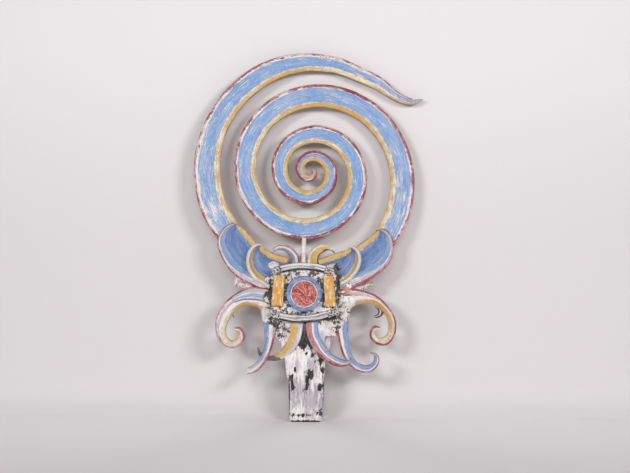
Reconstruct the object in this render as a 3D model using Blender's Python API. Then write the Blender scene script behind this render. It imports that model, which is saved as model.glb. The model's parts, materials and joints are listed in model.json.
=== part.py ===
"""Carved and painted roof finial.

An openwork spiral and its outer tail rise from two pairs of cupped calyxes on a block with
an applied roundel, tablets and mouldings.  Scrolls and leaves spread below it, and a squared
tenon foot goes into the roof ridge.  The front faces -Y and +X is to its right.
"""
import math

import bmesh
import bpy
from mathutils import Vector

MM = 0.001

# Driving dimensions, in millimetres.  Depths are along Y, and the front is negative.
SPIRAL_CENTRE = (16.5, 753.5)
SPIRAL_START = -45.0          # degrees, at the mouth of the right calyx
SPIRAL_END = 1125.0           # degrees, at the eye
SPIRAL_STEP = 9.0
SPIRAL_SAG = 3.6              # how much lower the centre lies for each turn outwards
TAIL_ARC = (                  # degrees, outer radius, inner radius about the same centre
    (222, 355, 276), (180, 353, 275), (150, 352, 281), (120, 354, 288), (90, 350, 298),
    (60, 346, 304),
)
BAND_FRONT = -18.0
BAND_BACK = 18.0
RIM = 9.0                     # bevel along the convex edge of a band
BEVEL = 17.0                  # wider bevel along its concave edge
RIM_DROP = 6.0
BEVEL_DROP = 13.0
DISH = 3.5                    # hollow of the face between its two ridges
BACK_CHAMFER = 4.0
SCOOP = 22.0                  # depth of a calyx's cup below its lip
MOUTH_LAP = 6.0               # how far a calyx's lip laps over the band that grows out of it
BAND_FLOOR = ((0.45, 1.0),)   # share of the face's width, share of its hollow
SCOOP_FLOOR = ((0.2, 0.7), (0.45, 1.0))

FOOT_SECTIONS = (              # left, right and height, from the end of the tenon upwards
    (-43.0, 48.0, 0.0), (-48.0, 53.0, 7.0), (-61.5, 58.5, 182.0), (-61.5, 58.5, 330.0),
)
FOOT_HALF_DEPTH = 45.0
FOOT_ROUNDING = 6.0           # how much shallower its rounded end is
BLOCK_FRONT = -55.0
BLOCK_BACK = 45.0
GAP = 0.3                     # between an applied piece and the block
BLOCK_LEFT = -100.0
BLOCK_RIGHT = 96.0
BLOCK_SHOULDER = 450.0
BLOCK_RISE = 22.0
BLOCK_HIP = 330.0
BLOCK_SAG = 24.0
TOP_MOULDING_ENDS = ((-97.0, 449.0), (84.0, 447.0))
TOP_MOULDING_RISE = 18.0
BOTTOM_MOULDING_ENDS = ((-105.0, 328.0), (93.0, 334.0))
BOTTOM_MOULDING_RISE = -22.0
MOULDING_SECTION = 20.0
MOULDING_RAISE = 12.0         # crown of a moulding above its side walls
MOULDING_STEPS = 14
MOULDING_SIDES = 6
TABLET_DEPTH = 12.0
RING_RADIUS = 53.0
RING_INNER = 38.0
ROUNDEL_CENTRE = (-4.0, 384.0)
ROUNDEL_DEPTH = 19.0
ROUNDEL_RECESS = 7.0
ROUNDEL_SIDES = 40
CUTTER_REACH = 80.0           # cutters start this far in front of the middle plane

STEPS = 2                     # sections between two points of an outline
ROOT_SHARE = 0.15             # the part of a band's length that counts as its root

# Outlines in the plane of the front: (x, z) along the convex edge, then along the concave
# edge, point against point, from the root of each form to its tip.
TAIL_TIP = (
    [(232, 1030), (268, 999), (292, 983), (315, 969), (334, 964.5), (354, 966)],
    [(207, 1000), (247, 977), (276, 961), (305, 951), (330, 950), (354, 964)],
)
LEFT_CALYX = (
    [(-130, 394), (-168, 413), (-200, 432), (-228, 460), (-250, 498), (-260, 530), (-255, 558),
     (-243, 580), (-220, 592)],
    [(-82, 478), (-124, 514), (-146, 532), (-164, 553), (-182, 574), (-196, 587), (-202, 590),
     (-208, 593), (-214, 593)],
)
RIGHT_CALYX = (
    [(118, 391), (163, 409), (200, 432), (234, 464), (254, 497), (260, 524), (255, 548),
     (242, 567), (228, 576)],
    [(82, 478), (118, 505), (148, 521), (180, 545), (199, 562), (212, 572), (216, 575),
     (220, 577), (224, 577)],
)
LEFT_INNER_CALYX = (
    [(-92, 385), (-128, 408), (-153, 424), (-173, 450), (-179, 482), (-174, 509), (-162, 527),
     (-149, 535)],
    [(-50, 490), (-77, 497), (-97, 504), (-109, 515), (-119, 524), (-128, 530), (-136, 533),
     (-142, 535)],
)
RIGHT_INNER_CALYX = (
    [(73, 388), (106, 406), (133, 425), (157, 453), (166, 484), (163, 506), (156, 519), (148, 525)],
    [(37, 485), (68, 495), (93, 506), (113, 514), (125, 519), (132, 522), (137, 524), (142, 525)],
)
LEFT_HOOK = (
    [(-17, 455), (-21, 494), (-35, 515), (-54, 526), (-78, 528), (-96, 520), (-102, 508)],
    [(-50, 455), (-41, 484), (-51, 500), (-65, 511), (-80, 513), (-91, 510), (-100, 505)],
)
RIGHT_HOOK = (
    [(2, 455), (9, 502), (22, 518), (41, 529), (60, 529), (77, 520), (90, 507)],
    [(40, 455), (38, 488), (46, 501), (59, 510), (69, 513), (78, 510), (87, 503)],
)
LEFT_SCROLL = (
    [(-95, 394), (-128, 402), (-169, 402), (-209, 384), (-244, 355), (-266, 316), (-271, 280),
     (-262, 247), (-243, 226), (-218, 219), (-196, 227), (-183, 247), (-185, 269), (-197, 280),
     (-212, 277)],
    [(-95, 330), (-131, 331), (-148, 344), (-185, 346), (-213, 327), (-232, 299), (-240, 275),
     (-237, 256), (-229, 244), (-215, 240), (-202, 245), (-195, 257), (-196, 266), (-202, 271),
     (-210, 273)],
)
RIGHT_SCROLL = (
    [(95, 394), (137, 398), (178, 391), (218, 374), (250, 343), (269, 308), (272, 275),
     (262, 246), (242, 228), (217, 229), (198, 243), (192, 263), (199, 279), (211, 285),
     (222, 279)],
    [(95, 326), (127, 331), (150, 347), (190, 352), (220, 339), (243, 312), (250, 286),
     (246, 262), (236, 250), (220, 247), (207, 256), (203, 266), (205, 273), (212, 277),
     (219, 276)],
)
LEFT_SHEATH = (
    [(-90, 390), (-128, 399), (-169, 399), (-205, 384), (-221, 373)],
    [(-90, 346), (-130, 361), (-165, 366), (-192, 364), (-211, 357)],
)
LEFT_OUTER_LEAF = (
    [(-79, 340), (-79, 306), (-89, 272), (-95, 238), (-107, 205), (-124, 172), (-148, 149),
     (-175, 141)],
    [(-136, 340), (-130, 306), (-124, 276), (-122, 242), (-128, 208), (-145, 181), (-163, 165),
     (-173, 160)],
)
RIGHT_OUTER_LEAF = (
    [(82, 340), (88, 300), (94, 268), (100, 235), (114, 194), (134, 166), (164, 147),
     (194, 149), (215, 166), (221, 187), (213, 203), (195, 207)],
    [(136, 340), (131, 306), (128, 272), (131, 238), (138, 205), (152, 181), (171, 169),
     (191, 169), (202, 179), (206, 191), (203, 200), (194, 204)],
)
LEFT_INNER_LEAF = (
    [(-5, 325), (-9, 272), (-20, 236), (-42, 206), (-70, 187), (-100, 181), (-127, 186),
     (-142, 200), (-145, 220)],
    [(-50, 325), (-47, 271), (-59, 236), (-77, 209), (-98, 197), (-112, 194), (-128, 197),
     (-135, 208), (-142, 221)],
)
RIGHT_INNER_LEAF = (
    [(0, 325), (4, 265), (21, 224), (46, 194), (77, 173), (107, 166), (130, 172), (141, 191)],
    [(38, 325), (39, 271), (54, 235), (75, 206), (99, 191), (119, 184), (132, 186), (139, 193)],
)
RIGHT_TENDRIL = (
    [(212, 350), (228, 342), (235, 330), (232, 319), (224, 312), (214, 309), (206, 311)],
    [(206, 344), (217, 334), (219, 326), (216, 320), (212, 318), (209, 317), (205, 315)],
)
LEFT_TENDRIL = ([(-238, 340), (-224, 331), (-214, 311)], [(-230, 324), (-222, 320), (-217, 310)])
LEAF_TENDRIL = ([(-118, 218), (-141, 213), (-142, 228)], [(-126, 196), (-150, 206), (-147, 228)])

# Closed outlines of the plain forms behind the leaves.
BACKBOARD = [(-140, 410), (-108, 440), (-60, 470), (55, 470), (105, 440), (140, 410), (130, 340),
             (118, 305), (60, 290), (0, 300), (-60, 290), (-118, 305), (-134, 340)]
LEFT_SKIRT = [(-125, 310), (-43, 310), (-50, 262), (-66, 224), (-74, 214), (-72, 227), (-84, 248),
              (-96, 255)]
RIGHT_SKIRT = [(30, 310), (98, 310), (96, 257), (78, 252), (44, 262)]
RIGHT_TONGUE = [(34, 280), (80, 280), (79, 246), (71, 208), (52, 236)]
LEFT_SPIKE = [(-150, 392), (-214, 406), (-213, 430), (-165, 430)]
RIGHT_SPIKE = [(135, 392), (208, 411), (206, 418), (140, 410)]
STRUT = [(-13, 460), (4, 460), (2, 500), (4, 552), (-9, 552), (-9, 500)]
LEFT_TABLET = [(-94, 438.5), (-60, 440), (-67, 346), (-102, 348)]
RIGHT_TABLET = [(52, 439), (82, 436), (92, 346), (59, 344)]


def clear_scene():
    """Remove every object, so that the scene holds only the finial."""
    for thing in list(bpy.data.objects):
        bpy.data.objects.remove(thing, do_unlink=True)


def paint(name, colour, roughness):
    """Make the finish of one piece."""
    material = bpy.data.materials.new(name)
    material.use_nodes = True
    shader = material.node_tree.nodes["Principled BSDF"]
    shader.inputs["Base Color"].default_value = (*colour, 1.0)
    shader.inputs["Roughness"].default_value = roughness
    shader.inputs["Metallic"].default_value = 0.0
    return material


def make_object(name, bm, material=None):
    """Turn a finished bmesh, in millimetres, into an object in metres."""
    bmesh.ops.scale(bm, vec=Vector((MM, MM, MM)), verts=bm.verts)
    bmesh.ops.recalc_face_normals(bm, faces=bm.faces)
    mesh = bpy.data.meshes.new(name)
    bm.to_mesh(mesh)
    bm.free()
    thing = bpy.data.objects.new(name, mesh)
    bpy.context.scene.collection.objects.link(thing)
    if material:
        mesh.materials.append(material)
        mesh.shade_smooth()
        mesh.set_sharp_from_angle(angle=math.radians(32.0))
    return thing


def curve_through(points, steps):
    """Read a smooth curve through the given points, with the same steps in every span."""
    knots = [Vector(point) for point in points]
    ends = [2 * knots[0] - knots[1]] + knots + [2 * knots[-1] - knots[-2]]
    curve = []
    for before, start, stop, after in zip(ends, ends[1:], ends[2:], ends[3:]):
        for step in range(steps):
            t = step / steps
            pull = (-t + 2 * t**2 - t**3) * before + (t**3 - t**2) * after
            hold = (2 - 5 * t**2 + 3 * t**3) * start + (t + 4 * t**2 - 3 * t**3) * stop
            curve.append((pull + hold) / 2)
    curve.append(knots[-1])
    return curve


def band_section(width, front, back, hollow, floor):
    """Give (distance from the convex edge, depth) around one section of a band.

    Narrow bands have narrower and shallower bevels.  The back is plain and chamfered.
    """
    rim = min(RIM, 0.2 * width)
    bevel = min(BEVEL, 0.32 * width)
    chamfer = min(BACK_CHAMFER, 0.2 * width)
    face = width - rim - bevel
    share = min(1.0, width / 45.0)
    return [
        (0.0, back - chamfer),
        (0.0, front + RIM_DROP * rim / RIM),
        (rim, front),
        *((rim + place * face, front + deep * hollow * share) for place, deep in floor),
        (width - bevel, front),
        (width, front + BEVEL_DROP * bevel / BEVEL),
        (width, back - chamfer),
        (width - chamfer, back),
        (chamfer, back),
    ]


def sweep(name, edges, front, back, hollow=DISH, floor=BAND_FLOOR, lean=0.0, thin_tip=0.55,
          sink=0.0):
    """Carve a band between two edge curves.

    Its tip gets thinner and leans forward, or back where the lean is negative, and its root
    sinks into what it grows out of.
    """
    bm = bmesh.new()
    rings = []
    widest = max((convex - concave).length for convex, concave in edges)
    for index, (convex, concave) in enumerate(edges):
        width = (concave - convex).length
        direction = (concave - convex).normalized()
        along = index / (len(edges) - 1)
        slim = 1.0 - thin_tip * (1.0 - min(1.0, 2.0 * width / widest))
        root = max(0.0, 1.0 - along / ROOT_SHARE)
        middle = (front + back) / 2 - lean * along**2 + sink * root
        half = (back - front) / 2 * slim
        ring = []
        section = band_section(width, middle - half, middle + half, hollow, floor)
        for across, depth in section:
            place = convex + across * direction
            ring.append(bm.verts.new((place.x, depth, place.y)))
        rings.append(ring)
    for ring, following in zip(rings, rings[1:]):
        skin_between(bm, ring, following)
    bm.faces.new(rings[0])
    bm.faces.new(rings[-1])
    return make_object(name, bm)


def skin_between(bm, ring, following):
    """Join two rings of vertices with a belt of faces."""
    for index in range(len(ring)):
        bm.faces.new((ring[index - 1], ring[index], following[index], following[index - 1]))


def edge_pair(outline, steps=STEPS):
    """Read both edge curves of an outline."""
    convex, concave = outline
    return list(zip(curve_through(convex, steps), curve_through(concave, steps)))


def polar(angle, radius, drop=0.0):
    """Give the point at an angle and a radius about the eye of the spiral."""
    turn = math.radians(angle)
    x, z = SPIRAL_CENTRE
    return Vector((x + radius * math.cos(turn), z - drop + radius * math.sin(turn)))


def spiral_edges():
    """Work out the spiral from its calyx inwards: radius and width follow the turns left."""
    edges = []
    count = round((SPIRAL_END - SPIRAL_START) / SPIRAL_STEP)
    for index in range(count + 1):
        angle = SPIRAL_START + index * SPIRAL_STEP
        turns = (SPIRAL_END - angle) / 360.0
        middle = 6.0 + 42.5 * turns + 4.45 * turns**3
        half = (8.5 + 29.5 * turns - 2.9 * turns**2) / 2
        drop = SPIRAL_SAG * turns
        edges.append((polar(angle, middle + half, drop), polar(angle, middle - half, drop)))
    return edges


def tail_edges():
    """Follow the outer arc from the left calyx over the top, then the turned-up tip."""
    arc = curve_through(TAIL_ARC, 2)
    convex = [polar(angle, outer) for angle, outer, inner in arc]
    concave = [polar(angle, inner) for angle, outer, inner in arc]
    return edge_pair((convex + TAIL_TIP[0], concave + TAIL_TIP[1]), 2)


def prism(name, outline, front, back, bevel=0.0, material=None):
    """Extrude a closed outline from front to back, with a bevel along its front edges."""
    bm = bmesh.new()
    near = [bm.verts.new((x, front, z)) for x, z in outline]
    far = [bm.verts.new((x, back, z)) for x, z in outline]
    face = bm.faces.new(near)
    bm.faces.new(far)
    skin_between(bm, near, far)
    bmesh.ops.recalc_face_normals(bm, faces=bm.faces)
    if bevel:
        bmesh.ops.bevel(bm, geom=list(face.edges), offset=bevel, segments=2, profile=0.5,
                        affect="EDGES")
    return make_object(name, bm, material)


def foot():
    """Carve the squared tenon, wider at its top than at its end."""
    bm = bmesh.new()
    rings = []
    for left, right, z in FOOT_SECTIONS:
        depth = FOOT_HALF_DEPTH - (FOOT_ROUNDING if z == 0.0 else 0.0)
        corners = ((left, -depth), (right, -depth), (right, depth), (left, depth))
        rings.append([bm.verts.new((x, y, z)) for x, y in corners])
    for ring, following in zip(rings, rings[1:]):
        skin_between(bm, ring, following)
    bm.faces.new(rings[0])
    bm.faces.new(rings[-1])
    return make_object("foot_form", bm)


def block_outline():
    """Give the block's front: straight cheeks between a raised top and a sagging bottom."""
    top = arc_points(BLOCK_LEFT, BLOCK_RIGHT, BLOCK_SHOULDER, BLOCK_RISE)
    bottom = arc_points(BLOCK_RIGHT + 2.0, BLOCK_LEFT - 6.0, BLOCK_HIP, -BLOCK_SAG)
    return top + bottom


def arc_points(x_start, x_stop, z_end, rise, count=9):
    """Give points on a shallow arch between two points at one height."""
    points = []
    for index in range(count):
        t = index / (count - 1)
        points.append((x_start + t * (x_stop - x_start), z_end + rise * 4 * t * (1 - t)))
    return points


def moulding(name, ends, rise, material):
    """Bend a half-round strip over the front edge of the block."""
    (x_start, z_start), (x_stop, z_stop) = ends
    flat = BLOCK_FRONT - GAP
    bm = bmesh.new()
    rings = []
    centre = []
    for index in range(MOULDING_STEPS + 1):
        t = index / MOULDING_STEPS
        height = z_start + t * (z_stop - z_start) + rise * 4 * t * (1 - t)
        centre.append(Vector((x_start + t * (x_stop - x_start), height)))
    for index, place in enumerate(centre):
        before = centre[max(index - 1, 0)]
        after = centre[min(index + 1, MOULDING_STEPS)]
        along = (after - before).normalized()
        up = Vector((-along.y, along.x))
        ring = []
        for side in range(MOULDING_SIDES + 1):
            turn = math.pi * side / MOULDING_SIDES
            offset = MOULDING_SECTION / 2 * math.cos(turn)
            depth = flat - 3.0 - MOULDING_RAISE * math.sin(turn)
            ring.append(bm.verts.new((place.x + up.x * offset, depth, place.y + up.y * offset)))
        for offset in (-MOULDING_SECTION / 2, MOULDING_SECTION / 2):
            ring.append(bm.verts.new((place.x + up.x * offset, flat, place.y + up.y * offset)))
        rings.append(ring)
    for ring, following in zip(rings, rings[1:]):
        skin_between(bm, ring, following)
    bm.faces.new(rings[0])
    bm.faces.new(rings[-1])
    return make_object(name, bm, material)


def roundel(material):
    """Turn the raised ring with the sunk disc inside it."""
    flat = BLOCK_FRONT - GAP
    crown = flat - ROUNDEL_DEPTH
    floor = crown + ROUNDEL_RECESS
    profile = [(RING_RADIUS, flat), (RING_RADIUS, crown + 4.0), (RING_RADIUS - 4.0, crown),
               (RING_INNER + 3.0, crown), (RING_INNER, crown + 3.0), (RING_INNER, floor)]
    bm = bmesh.new()
    x_centre, z_centre = ROUNDEL_CENTRE
    rings = []
    for radius, depth in profile:
        ring = []
        for side in range(ROUNDEL_SIDES):
            turn = 2 * math.pi * side / ROUNDEL_SIDES
            ring.append(bm.verts.new((x_centre + radius * math.cos(turn), depth,
                                      z_centre + radius * math.sin(turn))))
        rings.append(ring)
    for ring, following in zip(rings, rings[1:]):
        skin_between(bm, ring, following)
    bm.faces.new(rings[0])
    bm.faces.new(rings[-1])
    return make_object("roundel", bm, material)


def calyx(name, outline, front, back):
    """Carve a cupped sheath, scooped out behind its lip."""
    return sweep(name, edge_pair(outline, 3), front, back, SCOOP, SCOOP_FLOOR, thin_tip=0.2)


def open_mouth(form, outline, depth):
    """Cut a form away inside a calyx's lip, down to the given depth, so that the cup is open."""
    edges = edge_pair(outline, 3)
    convex = []
    concave = []
    for outer, inner in edges:
        lap = min(MOUTH_LAP, 0.3 * (inner - outer).length) * (inner - outer).normalized()
        convex.append(tuple(outer + lap))
        concave.append(tuple(inner - lap))
    cutter = prism(form.name + "_mouth", convex + concave[::-1], -CUTTER_REACH, depth)
    cutter.hide_render = True
    cutter.display_type = "WIRE"
    cut = form.modifiers.new("open_mouth", "BOOLEAN")
    cut.operation = "DIFFERENCE"
    cut.solver = "EXACT"
    cut.object = cutter


def carved_forms():
    """Carve every form that grows out of the block, each running well into its neighbour."""
    spiral = sweep("spiral_form", spiral_edges(), BAND_FRONT, BAND_BACK, thin_tip=0.35)
    tail = sweep("tail_form", tail_edges(), BAND_FRONT, BAND_BACK)
    left_calyx = calyx("left_calyx_form", LEFT_CALYX, -28.0, 22.0)
    right_calyx = calyx("right_calyx_form", RIGHT_CALYX, -28.0, 22.0)
    open_mouth(spiral, RIGHT_CALYX, 10.0)
    open_mouth(tail, LEFT_CALYX, 10.0)
    open_mouth(left_calyx, LEFT_INNER_CALYX, -4.0)
    open_mouth(right_calyx, RIGHT_INNER_CALYX, -4.0)
    return [
        spiral,
        tail,
        left_calyx,
        right_calyx,
        calyx("left_inner_calyx_form", LEFT_INNER_CALYX, -40.0, 12.0),
        calyx("right_inner_calyx_form", RIGHT_INNER_CALYX, -40.0, 12.0),
        sweep("left_hook_form", edge_pair(LEFT_HOOK), -36.0, -8.0),
        sweep("right_hook_form", edge_pair(RIGHT_HOOK), -36.0, -8.0),
        sweep("left_scroll_form", edge_pair(LEFT_SCROLL), -36.0, 10.0, lean=4.0),
        sweep("right_scroll_form", edge_pair(RIGHT_SCROLL), -36.0, 10.0, lean=4.0),
        sweep("left_sheath_form", edge_pair(LEFT_SHEATH), -41.0, -10.0, thin_tip=0.0),
        sweep("left_outer_leaf_form", edge_pair(LEFT_OUTER_LEAF), -46.0, -8.0, lean=6.0, sink=12.0),
        sweep("right_outer_leaf_form", edge_pair(RIGHT_OUTER_LEAF), -46.0, -8.0, lean=6.0, sink=12.0),
        sweep("left_inner_leaf_form", edge_pair(LEFT_INNER_LEAF), -53.0, -17.0, lean=-30.0),
        sweep("right_inner_leaf_form", edge_pair(RIGHT_INNER_LEAF), -53.0, -17.0, lean=16.0),
        sweep("right_tendril_form", edge_pair(RIGHT_TENDRIL), -20.0, -4.0),
        sweep("left_tendril_form", edge_pair(LEFT_TENDRIL), -20.0, -6.0),
        sweep("leaf_tendril_form", edge_pair(LEAF_TENDRIL), -30.0, -14.0),
        prism("block_form", block_outline(), BLOCK_FRONT, BLOCK_BACK),
        prism("backboard_form", BACKBOARD, -30.0, 40.0),
        prism("left_skirt_form", LEFT_SKIRT, -38.0, 6.0),
        prism("right_skirt_form", RIGHT_SKIRT, -38.0, 6.0),
        prism("right_tongue_form", RIGHT_TONGUE, -24.0, -4.0),
        prism("left_spike_form", LEFT_SPIKE, -14.0, 8.0),
        prism("right_spike_form", RIGHT_SPIKE, -14.0, 8.0),
        prism("strut_form", STRUT, -8.0, 8.0),
    ]


def carving(material):
    """Unite the foot and all that grows above it into one piece of timber."""
    timber = foot()
    forms = bpy.data.collections.new("carved_forms")
    bpy.context.scene.collection.children.link(forms)
    for form in carved_forms():
        forms.objects.link(form)
        bpy.context.scene.collection.objects.unlink(form)
        form.hide_render = True
        form.display_type = "WIRE"
    timber.name = "carving"
    timber.data.name = "carving"
    timber.data.materials.append(material)
    union = timber.modifiers.new("grown_together", "BOOLEAN")
    union.operation = "UNION"
    union.solver = "EXACT"
    union.operand_type = "COLLECTION"
    union.collection = forms
    return timber


def build():
    """Model the finial: the carved timber and the five pieces applied to its block."""
    clear_scene()
    blue = paint("worn_blue_paint", (0.16, 0.30, 0.62), 0.5)
    silver = paint("silvered_primer", (0.55, 0.53, 0.54), 0.35)
    ochre = paint("ochre_paint", (0.66, 0.36, 0.09), 0.5)
    crimson = paint("blue_ring_red_disc_paint", (0.35, 0.16, 0.30), 0.5)
    carving(blue)
    moulding("top_moulding", TOP_MOULDING_ENDS, TOP_MOULDING_RISE, silver)
    moulding("bottom_moulding", BOTTOM_MOULDING_ENDS, BOTTOM_MOULDING_RISE, silver)
    for name, outline in (("left_tablet", LEFT_TABLET), ("right_tablet", RIGHT_TABLET)):
        flat = BLOCK_FRONT - GAP
        prism(name, outline, flat - TABLET_DEPTH, flat, 3.0, ochre)
    roundel(crimson)


build()
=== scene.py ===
"""The carved roof finial as it looks: worn paint over white primer on carved timber."""
import json
import math

import bmesh
import bpy
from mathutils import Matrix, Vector, noise

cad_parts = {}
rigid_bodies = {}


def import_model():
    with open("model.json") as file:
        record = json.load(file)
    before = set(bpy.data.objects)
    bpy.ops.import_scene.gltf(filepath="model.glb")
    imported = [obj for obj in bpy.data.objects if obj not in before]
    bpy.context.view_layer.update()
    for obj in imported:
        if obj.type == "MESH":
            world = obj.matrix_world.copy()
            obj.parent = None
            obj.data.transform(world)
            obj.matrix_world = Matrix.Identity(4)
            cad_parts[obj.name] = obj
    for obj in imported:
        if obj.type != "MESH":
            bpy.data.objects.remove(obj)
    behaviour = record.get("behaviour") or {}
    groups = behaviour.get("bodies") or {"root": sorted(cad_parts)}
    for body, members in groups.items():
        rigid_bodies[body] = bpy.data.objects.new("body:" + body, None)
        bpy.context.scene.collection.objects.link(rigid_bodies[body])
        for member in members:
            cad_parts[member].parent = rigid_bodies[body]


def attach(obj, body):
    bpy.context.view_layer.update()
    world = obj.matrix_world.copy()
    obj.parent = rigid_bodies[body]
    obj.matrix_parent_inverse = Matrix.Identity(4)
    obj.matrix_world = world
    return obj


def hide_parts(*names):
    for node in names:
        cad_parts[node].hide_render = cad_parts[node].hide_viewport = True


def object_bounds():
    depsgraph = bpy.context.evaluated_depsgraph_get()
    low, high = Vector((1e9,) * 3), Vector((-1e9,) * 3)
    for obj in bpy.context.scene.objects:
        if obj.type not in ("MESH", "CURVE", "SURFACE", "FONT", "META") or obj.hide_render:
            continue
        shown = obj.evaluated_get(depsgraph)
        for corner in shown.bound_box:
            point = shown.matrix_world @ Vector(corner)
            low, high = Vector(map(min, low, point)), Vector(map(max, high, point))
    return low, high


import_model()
cad_low, cad_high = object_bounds()

# The outlines below are in millimetres of the CAD model's own height.
DESIGN_HEIGHT = 1103.5
MM = (cad_high.z - cad_low.z) / DESIGN_HEIGHT

# The tail's arc about the eye of the spiral: angle, outer radius, inner radius.
TAIL_ARC = (
    (222, 355, 276), (180, 353, 275), (150, 352, 281), (120, 355, 288), (105, 355, 294),
    (90, 352, 299), (60, 347, 304),
)
# Each outline is x and z in turn along its convex edge, then along its concave edge.
OUTLINES = {
    "tail_tip": (
        (232, 1030, 268, 999, 292, 983, 315, 971.5, 334, 967.5, 354, 968.5),
        (207, 1000, 247, 977, 276, 961, 305, 952, 330, 953, 354, 966.5)),
    "left_calyx": (
        (-130, 394, -168, 411, -204, 432, -234, 461, -255, 497, -265, 530, -260, 558, -247, 579,
         -231, 591, -214, 594, -202, 589),
        (-82, 478, -124, 514, -146, 532, -164, 552, -178, 568, -187, 577, -191, 581, -193, 583,
         -195, 584, -196, 585, -198, 586)),
    "right_calyx": (
        (118, 391, 168, 408, 205, 429, 237, 456, 257, 484, 264, 510, 263, 541, 252, 565, 239, 575,
         225, 578, 215, 571),
        (82, 478, 118, 504, 148, 519, 180, 542, 196, 555, 203, 560, 206, 562, 208, 564, 209, 565,
         210, 566, 211, 568)),
    "left_inner_calyx": (
        (-92, 385, -128, 408, -153, 424, -172, 450, -178, 480, -174, 506, -163, 524, -147, 533,
         -131, 530),
        (-50, 490, -77, 497, -97, 503, -110, 510, -118, 514, -122, 516, -124, 518, -126, 520, -127,
         523)),
    "right_inner_calyx": (
        (73, 388, 106, 406, 134, 422, 156, 448, 167, 476, 166, 499, 159, 514, 146, 523, 132, 522),
        (37, 485, 68, 495, 93, 504, 108, 509, 116, 511, 121, 512, 124, 513, 126, 514, 128, 517)),
    "left_hook": (
        (-17, 455, -21, 494, -35, 515, -54, 526, -78, 528, -96, 520, -102, 508),
        (-50, 455, -41, 484, -51, 500, -65, 511, -80, 513, -91, 510, -100, 505)),
    "right_hook": (
        (2, 455, 9, 502, 22, 518, 41, 529, 60, 529, 77, 520, 90, 507),
        (40, 455, 38, 488, 46, 501, 59, 510, 69, 513, 78, 510, 87, 503)),
    "left_scroll": (
        (-95, 394, -128, 402, -169, 402, -209, 384, -244, 355, -266, 316, -271, 280, -262, 247,
         -243, 226, -218, 219, -196, 227, -183, 247, -185, 269, -197, 281, -213, 281),
        (-95, 330, -131, 331, -148, 344, -185, 346, -213, 327, -232, 299, -240, 275, -238, 256,
         -230, 244, -217, 241, -206, 247, -201, 256, -201, 263, -205, 268, -211, 270)),
    "right_scroll": (
        (95, 394, 137, 398, 178, 391, 218, 374, 250, 343, 269, 308, 272, 275, 262, 246, 242, 228,
         217, 229, 198, 243, 192, 263, 198, 279, 210, 286, 223, 282),
        (95, 326, 127, 331, 150, 347, 190, 352, 220, 339, 243, 312, 250, 286, 247, 263, 237, 251,
         222, 248, 211, 255, 207, 263, 209, 270, 213, 274, 220, 275)),
    "left_sheath": (
        (-90, 390, -128, 399, -169, 399, -205, 384, -221, 373),
        (-90, 346, -130, 361, -165, 366, -192, 364, -211, 357)),
    "left_outer_leaf": (
        (-79, 340, -79, 306, -89, 272, -95, 238, -107, 205, -124, 172, -148, 149, -175, 141),
        (-136, 340, -130, 306, -124, 276, -122, 242, -128, 208, -145, 181, -163, 165, -173, 160)),
    "right_outer_leaf": (
        (82, 340, 88, 300, 94, 268, 100, 235, 114, 194, 134, 166, 164, 147, 194, 149, 215, 166, 221,
         187, 213, 203, 195, 207),
        (136, 340, 131, 306, 128, 272, 131, 238, 138, 205, 152, 181, 171, 169, 191, 169, 202, 179,
         206, 191, 203, 200, 194, 204)),
    "left_inner_leaf": (
        (-5, 325, -9, 272, -20, 236, -42, 206, -70, 187, -100, 181, -127, 186, -142, 200, -145,
         220),
        (-50, 325, -47, 271, -59, 236, -77, 209, -98, 197, -112, 194, -128, 197, -135, 208, -142,
         221)),
    "right_inner_leaf": (
        (0, 325, 4, 265, 21, 224, 46, 194, 77, 173, 107, 166, 130, 172, 141, 191),
        (38, 325, 39, 271, 54, 235, 75, 206, 99, 191, 119, 184, 132, 186, 139, 193)),
    "right_tendril": (
        (212, 350, 228, 342, 235, 330, 232, 319, 224, 312, 214, 309, 206, 311),
        (206, 344, 217, 334, 219, 326, 216, 320, 212, 318, 209, 317, 205, 315)),
    "left_tendril": (
        (-238, 340, -224, 331, -214, 311),
        (-230, 324, -222, 320, -217, 310)),
    "leaf_tendril": (
        (-120, 206, -134, 206, -141, 221),
        (-122, 200, -139, 202, -144, 222)),
}


# ---------------------------------------------------------------- paint

SCREEN_GAMMA = 2.2


def shade(colour):
    """Turn a colour written as on screen into the shader's linear one, and leave the rest."""
    if not isinstance(colour, str):
        return colour
    return tuple((int(colour[at:at + 2], 16) / 255) ** SCREEN_GAMMA for at in (1, 3, 5)) + (1,)


def grey(value):
    """Give a plain number as a colour."""
    return (value, value, value, 1)


def operator(operation):
    """Make a method that works out one number from a signal and what else it is given."""
    return lambda signal, *others: signal.work.math(operation, signal, *others)


class Signal:
    """The output of a node, which takes + - * with numbers and with other signals."""

    __add__ = __radd__ = operator("ADD")
    __mul__ = __rmul__ = operator("MULTIPLY")
    __sub__, __abs__ = operator("SUBTRACT"), operator("ABSOLUTE")

    def __init__(self, work, socket):
        self.work, self.socket = work, socket

    def __rsub__(self, other):
        return self.work.math("SUBTRACT", other, self)

    def noise(self, scale, detail=3, roughness=0.55):
        """Give noise between about 0.2 and 0.8 over a place, at its own scale on each axis."""
        stretch = self.work.node("ShaderNodeVectorMath", self, scale, operation="MULTIPLY")
        stretched, = self.work.signals(stretch, 0)
        node = self.work.feed(self.work.node("ShaderNodeTexNoise"), (
            ("Vector", stretched), ("Scale", 1), ("Detail", detail), ("Roughness", roughness)))
        return self.work.signals(node, 0)[0]

    def fade(self, low, high, bottom=0, top=1):
        """Go smoothly from bottom to top as the signal goes from low to high."""
        node = self.work.node("ShaderNodeMapRange", self, low, high, bottom, top,
                              interpolation_type="SMOOTHSTEP")
        return self.work.signals(node, 0)[0]


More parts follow.
